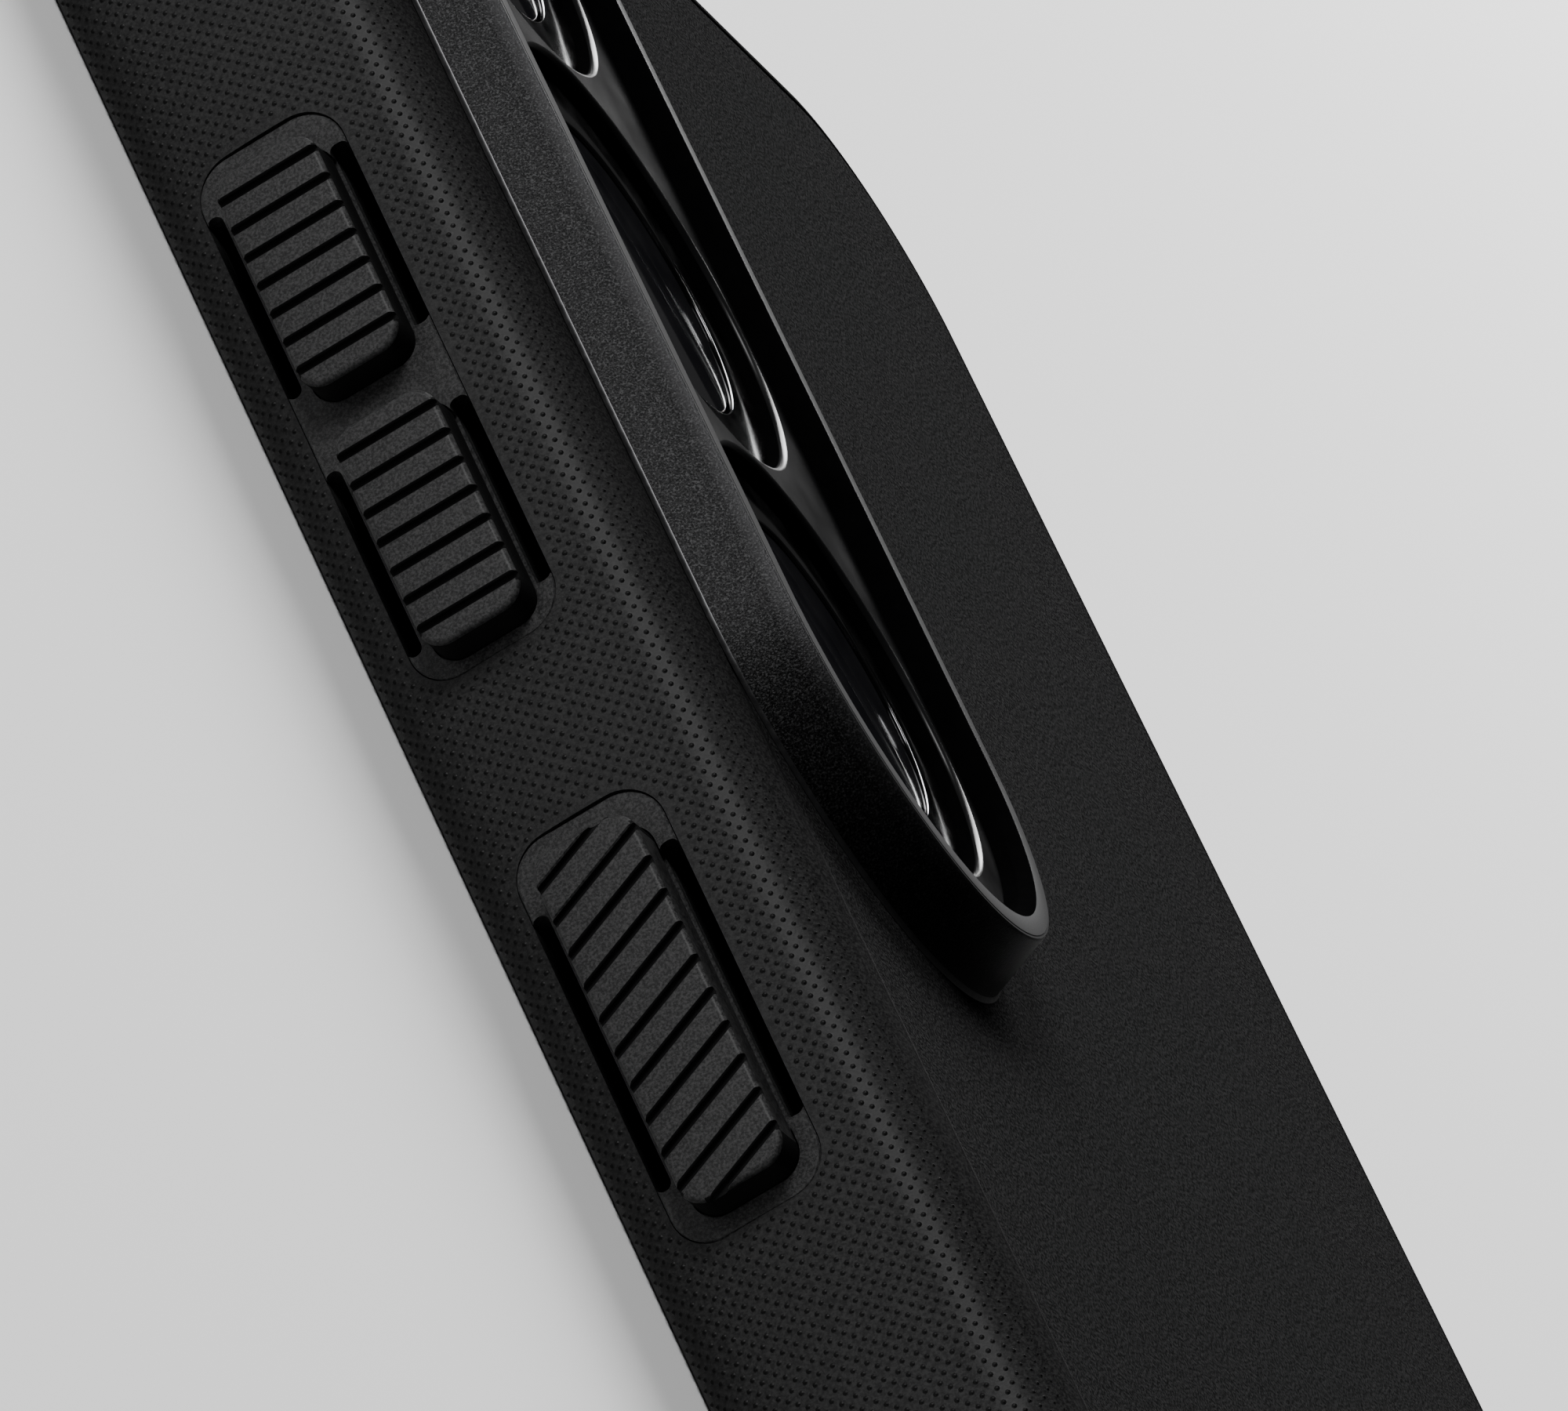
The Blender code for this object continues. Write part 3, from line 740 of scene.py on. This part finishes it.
def bumper_surface():
    """The bumper's surface: diamond cells on the side and plain loops on the rest of the section."""
    surface = Surface()
    columns = 2 * round(PERIMETER / GRIP_PITCH)
    first_h, last_h = GRIP_FOOT, PROFILE_LENGTH[-1] - GRIP_TOP_GAP
    rows = 2 * round((last_h - first_h) / GRIP_PITCH)
    step_s, step_h = PERIMETER / columns, (last_h - first_h) / rows

    # Lattice places with an odd sum are corners that cells share. The others are the middles of cells.
    grid_i, grid_j = np.meshgrid(np.arange(columns), np.arange(rows + 1), indexing="ij")
    shared = (grid_i + grid_j) % 2 == 1
    number = -np.ones(shared.shape, int)
    number[shared] = surface.add(on_side(grid_i[shared] * step_s, first_h + grid_j[shared] * step_h))

    i, j = np.nonzero(~shared)
    left, right = (i - 1) % columns, (i + 1) % columns
    bottom, top, inner = j == 0, j == rows, (j > 0) & (j < rows)
    surface.face(number[left[bottom], 0], number[right[bottom], 0], number[i[bottom], 1])
    surface.face(number[i[top], rows - 1], number[right[top], rows], number[left[top], rows])
    i, j, left, right = i[inner], j[inner], left[inner], right[inner]
    corners = np.stack([number[right, j], number[i, j + 1], number[left, j], number[i, j - 1]])
    add_cells(surface, i * step_s, first_h + j * step_h, corners, first_h, last_h)

    odd = np.arange(1, columns, 2)
    previous = number[odd, rows]
    for inset, height in rest_of_section(first_h, last_h):
        current = surface.add(on_body(odd * step_s, np.full(len(odd), inset), height))
        surface.bridge(previous, current)
        previous = current
    surface.bridge(previous, number[odd, 0])
    return surface


def rest_of_section(first_h, last_h):
    """Section from the grip band's top, over the lip, groove, shelf, pocket and front lip, to its bottom."""
    points = [profile_at(h)[:2] for h in np.linspace(last_h, PROFILE_LENGTH[-1], 6)[1:]]
    points += arc((PARTING_INSET - PARTING_ROUND, BODY_HEIGHT - 0.083), PARTING_ROUND, 80, 0, 4)
    groove = PARTING_INSET - GROOVE_DEPTH
    points += [(PARTING_INSET, GROOVE_ROOF), (groove, GROOVE_ROOF), (groove, GROOVE_FLOOR)]
    chamfer = 0.1
    points += [(SHELF_INSET - chamfer, GROOVE_FLOOR), (SHELF_INSET, GROOVE_FLOOR - chamfer)]
    points += [(SHELF_INSET, POCKET_TOP + chamfer), (SHELF_INSET - chamfer, POCKET_TOP)]
    points += arc((RAIL_WALL + 0.4, POCKET_TOP - 0.4), 0.4, 90, 180, 5)
    points += arc((RAIL_WALL + 0.3, FRONT_LIP + 0.3), 0.3, 180, 270, 5)
    inner = RAIL_WALL + LIP_OVERHANG
    points += arc((inner - 0.35, FRONT_LIP - 0.35), 0.35, 90, 0, 5)
    points += arc((inner - 0.45, 0.45), 0.45, 0, -90, 6)
    points += [profile_at(h)[:2] for h in np.linspace(0.0, first_h, 7)[:-1]]
    return points


def recess_tools():
    """Recesses for the panels."""
    tools = []
    for name, (low, high) in PANELS.items():
        middle, size = (low + high) / 2, high - low
        outline = rectangle_outline(size[1] + 2 * SEAM, size[2] + 2 * SEAM, RECESS_CORNER, 12)
        depth = high[0] - SIDE_X + SEAM / 2
        tools.append(swept(f"tool_{name}", outline, [(0, -1.0), (0, depth)], face_side(middle[1], middle[2])))
    return tools


def button_tools(names):
    """Windows for the stems and the two flexing slots beside each cap."""
    through = [(0, -0.5), (0, RAIL_WALL + 0.5)]
    tools = []
    for name in names:
        low, high = CAPS[name]
        y, z = (low[1] + high[1]) / 2, (low[2] + high[2]) / 2
        length, height = (high[1] - low[1]) * STEM_SHARE + 2 * STEM_GAP, STEM_HEIGHT + 2 * STEM_GAP
        window = rectangle_outline(length, height, STEM_CORNER + STEM_GAP, 4)
        tools.append(swept(f"tool_{name}_window", window, through, face_side(y, z)))
        for side, (slot_z, width) in SLOTS.items():
            slot = rectangle_outline(SLOT_LENGTHS[name], width, SLOT_CORNER, 8)
            tools.append(swept(f"tool_{name}_{side}", slot, through, face_side(y + SLOT_SHIFT, slot_z)))
    return tools


def seat_tools():
    """Seats for the pushers, in the pocket's wall."""
    tools = []
    for name in CAPS:
        low, high = node_box(f"{name}_pusher")
        middle, size = (low + high) / 2, high - low
        outline = rectangle_outline(size[1] + 2 * SEAT_GAP, size[2] + 2 * SEAT_GAP, SEAT_CORNER, 4)
        section = [(0, RAIL_WALL - 0.5), (0, RAIL_WALL + 0.4)]
        tools.append(swept(f"tool_{name}_seat", outline, section, face_side(middle[1], middle[2])))
    return tools


def end_tools():
    """Charging port, speaker slot and microphone holes, each with a rounded mouth."""
    shapes = {"port": rectangle_outline(*PORT, 10), "speaker": rectangle_outline(*SPEAKER, 10)}
    mouth_z = BODY_LENGTH / 2 - MOUTH_ROUND - 0.05
    tools = []
    for name, (from_middle, sign, *_) in END_OPENINGS.items():
        shape = shapes.get(name, circle_outline(MIC_RADIUS, 40))
        section = [(0, sign * (BODY_LENGTH / 2 - RAIL_WALL - 0.5))]
        for angle in np.radians([0, 20, 40, 60, 80]):
            flare = MOUTH_ROUND * (1 - math.cos(angle))
            section.append((-flare, sign * (mouth_z + MOUTH_ROUND * math.sin(angle))))
        section.append((-MOUTH_ROUND, sign * (BODY_LENGTH / 2 + 1)))
        tools.append(swept(f"tool_{name}", shape, section, face_end(BODY_X + from_middle, END_OPENING_Z)))
    return tools


def mark_dots(shell):
    """Stores how high each point stands over the smooth side, from 0 on it to 1 at a dot's tip."""
    data = shell.data
    place = np.empty(len(data.vertices) * 3)
    data.vertices.foreach_get("co", place)
    x, y, z = (place.reshape(-1, 3) / MM).T
    beyond_x = np.maximum(np.abs(x - BODY_X) - HALF_X, 0)
    beyond_y = np.maximum(np.abs(y) - HALF_Y, 0)
    inset = CORNER_RADIUS - np.hypot(beyond_x, beyond_y)
    surface = np.interp(z, PROFILE[:, 1], PROFILE[:, 0])
    slopes = np.gradient(PROFILE[:, 0]) / np.maximum(np.gradient(PROFILE[:, 1]), 1e-6)
    height = (surface - inset) / np.sqrt(1 + np.interp(z, PROFILE[:, 1], slopes) ** 2)
    noticed = height > 0.005
    attribute = data.attributes.new("dot", "FLOAT", "POINT")
    attribute.data.foreach_set("value", (np.clip(height / DOT_HEIGHT, 0, 1) * noticed).astype(np.float32))


def make_bumper():
    shell = new_object("bumper_shell", bumper_surface().mesh("bumper_shell"), "soft_black")
    tools = recess_tools() + button_tools(CAPS) + seat_tools() + end_tools()
    cut(shell, join_solids("bumper_tool", tools), solver="MANIFOLD")
    mark_dots(shell)
    finish_piece(shell, "case", "bumper_frame")


# ---- Back plate ----


def make_back():
    """The back panel, with a tongue in the bumper's groove and an opening under the camera guard."""
    tongue_low, tongue_high = GROOVE_FLOOR + TONGUE_GAP, GROOVE_ROOF - TONGUE_GAP
    tongue = PARTING_INSET - GROOVE_DEPTH + TONGUE_GAP
    core = SHELF_INSET + TONGUE_GAP
    edge, edge_round = PARTING_INSET + PARTING_GAP, 0.22
    top = BODY_HEIGHT
    section = [(core, POCKET_TOP + 0.75), (core, tongue_low), (tongue, tongue_low), (tongue, tongue_high)]
    section += [(edge, tongue_high), (edge, top - edge_round)]
    section += arc((edge + edge_round, top - edge_round), edge_round, 180, 90, 6)
    outline = rectangle_outline(BODY_WIDTH, BODY_LENGTH, CORNER_RADIUS, 24)
    plate = swept("back_panel", outline, section, lay_flat(BODY_X, 0), "grained_black")
    opening = pill_outline(BACK_OPENING, GUARD_HALF_LENGTH, 48)
    cut(plate, swept("tool", opening, [(0, POCKET_TOP), (0, top + 1)], lay_flat(GUARD_X, GUARD_Y)))
    # Painted shade: the plate's rounded edge and the faces below it get a dark tone, which darkens the
    # parting line.
    paint(plate, "shadowed_black", lambda x, y, z: z < top - 0.004)
    finish_piece(plate, "case", "back_plate")


# ---- Camera guard, deck and lens covers ----


def pill_radius(x, y):
    """Distance from the line that joins the centres of the guard's two ends."""
    return math.hypot(x - GUARD_X, max(abs(y - GUARD_Y) - GUARD_HALF_LENGTH, 0.0))


def make_guard():
    """The guard's wall: a bare edge at the foot, a leaning blasted side, a turned rim and a bore painted dark
    as shade.
    """
    foot, top = BODY_HEIGHT + 0.02, GUARD_TOP
    side_foot, side_z = GUARD_FOOT_RADIUS - 0.16, foot + 0.16
    rim, rim_inner, bore, socket = GUARD_RIM, GUARD_RIM_INNER, GUARD_BORE, GUARD_SOCKET
    stop, stop_z = 8.6, PLATE_TOP - 1.55

    # Points of the section as (radius, height): up the outside, over the rim and down the inside.
    points = [(GUARD_FOOT_RADIUS, foot), (GUARD_FOOT_RADIUS - 0.10, foot + 0.06), (side_foot, side_z)]
    for t in (0.25, 0.5, 0.75):
        points.append((side_foot - (side_foot - rim - 0.02) * t, side_z + (top - 0.36 - foot) * t))
    points += [(rim + 0.03, top - 0.14), (rim, top - 0.08), (rim - 0.05, top - 0.03)]
    points += [(rim - 0.13, top - 0.025), (rim - 0.16, top)]
    points += [(rim_inner, top), (rim_inner - 0.10, top - 0.03), (rim_inner - 0.19, top - 0.10)]
    points += [(bore + 0.03, top - 0.40), (bore, top - 0.50), (bore, stop_z), (stop, stop_z)]
    points += [(stop, POCKET_TOP + 0.75), (socket, POCKET_TOP + 0.75), (socket, foot)]
    section = [(GUARD_FOOT_RADIUS - radius, height) for radius, height in points]

    guard = swept("guard_wall", pill_outline(GUARD_FOOT_RADIUS, GUARD_HALF_LENGTH), section,
                  lay_flat(GUARD_X, GUARD_Y), "blasted_metal", ring=True)
    paint(guard, "machined_black", lambda x, y, z: z > top - 0.035 and pill_radius(x, y) > rim_inner - 0.08)
    # Painted shade: the guard's inner wall and bore get a near-black tone.
    paint(guard, "painted_shade_black", lambda x, y, z: z < top - 0.012 and pill_radius(x, y) < rim_inner - 0.04)
    paint(guard, "bright_edge", lambda x, y, z: z < side_z + 0.01 and pill_radius(x, y) > rim)
    finish_piece(guard, "case", "camera_guard")


def make_deck():
    """The smooth plate inside the guard, with a step and a rounded lip in each lens hole."""
    bottom, edge = PLATE_TOP - 1.4, 0.05
    step_z, step = PLATE_TOP - 1.1, 0.64
    section = [(0, bottom), (0, PLATE_TOP - edge), (edge, PLATE_TOP)]
    deck = swept("lens_deck", pill_outline(DECK_RADIUS, GUARD_HALF_LENGTH), section,
                 lay_flat(GUARD_X, GUARD_Y), "satin_black")
    hole = [(step, bottom - 1), (step, step_z), (0, step_z)]
    for angle in np.radians([0, 18, 36, 54, 72, 86]):
        flare = HOLE_ROUND * (1 - math.cos(angle))
        hole.append((-flare, PLATE_TOP - HOLE_ROUND + HOLE_ROUND * math.sin(angle)))
    hole.append((-HOLE_ROUND, PLATE_TOP + 1))
    for place in LENSES.values():
        centre = lay_flat(GUARD_X, GUARD_Y + place * LENS_PITCH)
        cut(deck, swept("tool", circle_outline(LENS_HOLE_RADIUS), hole, centre))
    # Painted shade: the walls of the lens holes below the lip get a near-black tone.
    paint(deck, "painted_shade_black", lambda x, y, z: z < PLATE_TOP - 0.19)
    finish_piece(deck, "case", "camera_plate")


def make_lens(name, place):
    """A polished ring with a disc of dark glass inside it."""
    centre = lay_flat(GUARD_X, GUARD_Y + place * LENS_PITCH)
    top = PLATE_TOP - 0.6
    wall, base = top - 0.35, top - 1.05
    bore, seat, collar = RING_OUTER - RING_BORE, RING_OUTER - 5.3, RING_OUTER - 7.65
    rounding = 0.07
    section = [(0, wall), (0, top - rounding)] + arc((rounding, top - rounding), rounding, 180, 90, 5)
    section += arc((bore - rounding, top - rounding), rounding, 90, 0, 5)
    section += [(bore, top - 0.7), (seat, top - 0.7), (seat, base), (collar, base), (collar, wall)]
    outline = circle_outline(RING_OUTER)
    ring = swept(f"trim_ring_{name}", outline, section, centre, "polished_steel", ring=True)
    finish_piece(ring, "case", f"lens_ring_{name}")

    glass_top, rounding = top - 0.15, 0.08
    section = [(0.05, top - 0.55), (0, top - 0.5), (0, glass_top - rounding)]
    section += arc((rounding, glass_top - rounding), rounding, 180, 90, 4)
    glass = swept(f"cover_glass_{name}", circle_outline(GLASS_RADIUS), section, centre, "dark_glass")
    finish_piece(glass, "case", f"lens_glass_{name}")


# ---- Buttons and their panels ----


def make_panel(name):
    """A panel in its recess, with windows, slots and shallow pockets for its caps."""
    low, high = PANELS[name]
    middle, size = (low + high) / 2, high - low
    floor, back = low[0] - SIDE_X, high[0] - SIDE_X
    edge, grow = 0.05, SEAM - PANEL_LINE
    outline = rectangle_outline(size[1] + 2 * grow, size[2] + 2 * grow, RECESS_CORNER - PANEL_LINE, 12)
    section = [(edge, floor), (0, floor + edge), (0, back)]
    panel = swept(f"{name}_panel_face", outline, section, face_side(middle[1], middle[2]), "smooth_black")
    tools = button_tools(PANEL_CAPS[name])
    for cap in PANEL_CAPS[name]:
        cap_low, cap_high = CAPS[cap]
        (_, y, z), (_, length, height) = (cap_low + cap_high) / 2, cap_high - cap_low
        shape = rectangle_outline(length + 2 * CAP_GAP, height + 2 * CAP_GAP, CAP_CORNER + CAP_GAP, 10)
        tools.append(swept(f"tool_{cap}_pocket", shape, [(0, -1), (0, floor + 0.6)], face_side(y, z)))
    cut(panel, join_solids("panel_tool", tools))
    finish_piece(panel, "case", f"{name}_button_panel")


def groove_tool(i, y, z, face, angle):
    """A bar with a rounded bottom and slightly flared sides, turned by the grooves' slant."""
    cos, sin = math.cos(angle), math.sin(angle)
    bar_length, bottom = 9.0, face + RIB_GROOVE_DEPTH

    def place(u, v, w):
        return ((SIDE_X + w) * MM, (y + u * cos + v * sin) * MM, (z - u * sin + v * cos) * MM)

    bar = rectangle_outline(RIB_GROOVE_WIDTH, bar_length, 0.02, 1)
    section = [(-0.08, face - 0.5), (-0.05, face - 0.005), (0.0, face + 0.06)]
    section += [(0.01, bottom - 0.05), (0.05, bottom)]
    return swept(f"tool_groove_{i}", bar, section, place)


def make_cap(name):
    """A ribbed cap on its stem. Its grooves and side walls get painted shade."""
    low, high = CAPS[name]
    (_, y, z), (_, length, height) = (low + high) / 2, high - low
    face = low[0] - SIDE_X
    edge = 0.20
    foot = PANELS["volume"][0][0] - SIDE_X + 0.1
    outline = rectangle_outline(length, height, CAP_CORNER, 12)
    section = arc((edge, face + edge), edge, 270, 180, 6) + [(0, foot)]
    skirt = swept(f"{name}_cap", outline, section, face_side(y, z), "smooth_black", sharp=32)
    shape = rectangle_outline(length * STEM_SHARE, STEM_HEIGHT, STEM_CORNER, 6)
    stem = swept("tool_stem", shape, [(0, face + 1.0), (0, RAIL_WALL - 0.65)], face_side(y, z))
    cap = join_solids(f"{name}_cap", [skirt, stem])

    count, pitch, angle = GROOVES[name]
    cos, sin = math.cos(angle), math.sin(angle)
    for i in range(count):
        step = (i - (count - 1) / 2) * pitch / cos
        cut(cap, groove_tool(i, y + step, z, face, angle), sharp=32)

    def in_shade(px, py, pz):
        along = ((py - y) * cos - (pz - z) * sin) / pitch + (count - 1) / 2
        depth = px - SIDE_X - face
        near_groove = abs(along - round(along)) * pitch < RIB_GROOVE_WIDTH / 2 + 0.10
        return depth > edge + 0.1 or (near_groove and 0.03 < depth < RIB_GROOVE_DEPTH + 0.02)

    # Painted shade on the grooves and on the cap's side walls.
    paint(cap, "shadowed_black", in_shade)
    finish_piece(cap, name, f"{name}_button")


def dress_cad_nodes():
    """CAD nodes that keep their own shape get a small round-over and a full material."""
    finishes = {"inner_liner": "microfibre"} | {f"{name}_pusher": "smooth_black" for name in CAPS}
    for node, finish in finishes.items():
        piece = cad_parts[node]
        piece.data.materials.clear()
        piece.data.materials.append(FINISH[finish])
        bevel = piece.modifiers.new("edges", "BEVEL")
        bevel.width = 0.06 * MM
        bevel.segments = 2
        bevel.limit_method = "ANGLE"
        bevel.angle_limit = math.radians(50)


# ---- Floor and light ----


def make_floor():
    mesh = bmesh.new()
    bmesh.ops.create_grid(mesh, x_segments=2, y_segments=2, size=1.5)
    data = bpy.data.meshes.new("floor")
    mesh.to_mesh(data)
    mesh.free()
    floor = new_object("floor", data)
    n = Nodes("floor_paint")
    n.set(Base_Color=(0.93, 0.93, 0.93), Roughness=0.9, Specular_IOR_Level=0.1)
    data.materials.append(n.material)


def area_light(name, place, size, power):
    """A rectangular lamp that points at the upper half of the case."""
    target = Vector((0, 0.03, 0))
    data = bpy.data.lights.new(name, "AREA")
    data.shape = "RECTANGLE"
    data.size, data.size_y = size
    data.energy = power
    light = bpy.data.objects.new(name, data)
    light.location = place
    light.rotation_euler = (target - Vector(place)).to_track_quat("-Z", "Y").to_euler()
    bpy.context.scene.collection.objects.link(light)


def make_light():
    """A weak even sky, a large key light behind the case and a smaller one low on the buttons' side."""
    world = bpy.data.worlds.new("studio")
    bpy.context.scene.world = world
    world.use_nodes = True
    back = world.node_tree.nodes["Background"]
    back.inputs["Color"].default_value = (1.0, 1.0, 1.0, 1.0)
    back.inputs["Strength"].default_value = 0.04
    area_light("key", place=(0.48, 0.78, 0.50), size=(0.7, 0.5), power=24.0)
    area_light("side", place=(-0.74, 0.50, 0.46), size=(0.4, 0.3), power=9.0)


make_bumper()
make_back()
make_guard()
make_deck()
for lens_name, lens_place in LENSES.items():
    make_lens(lens_name, lens_place)
for panel_name in PANELS:
    make_panel(panel_name)
for cap_name in CAPS:
    make_cap(cap_name)
dress_cad_nodes()
make_floor()
make_light()
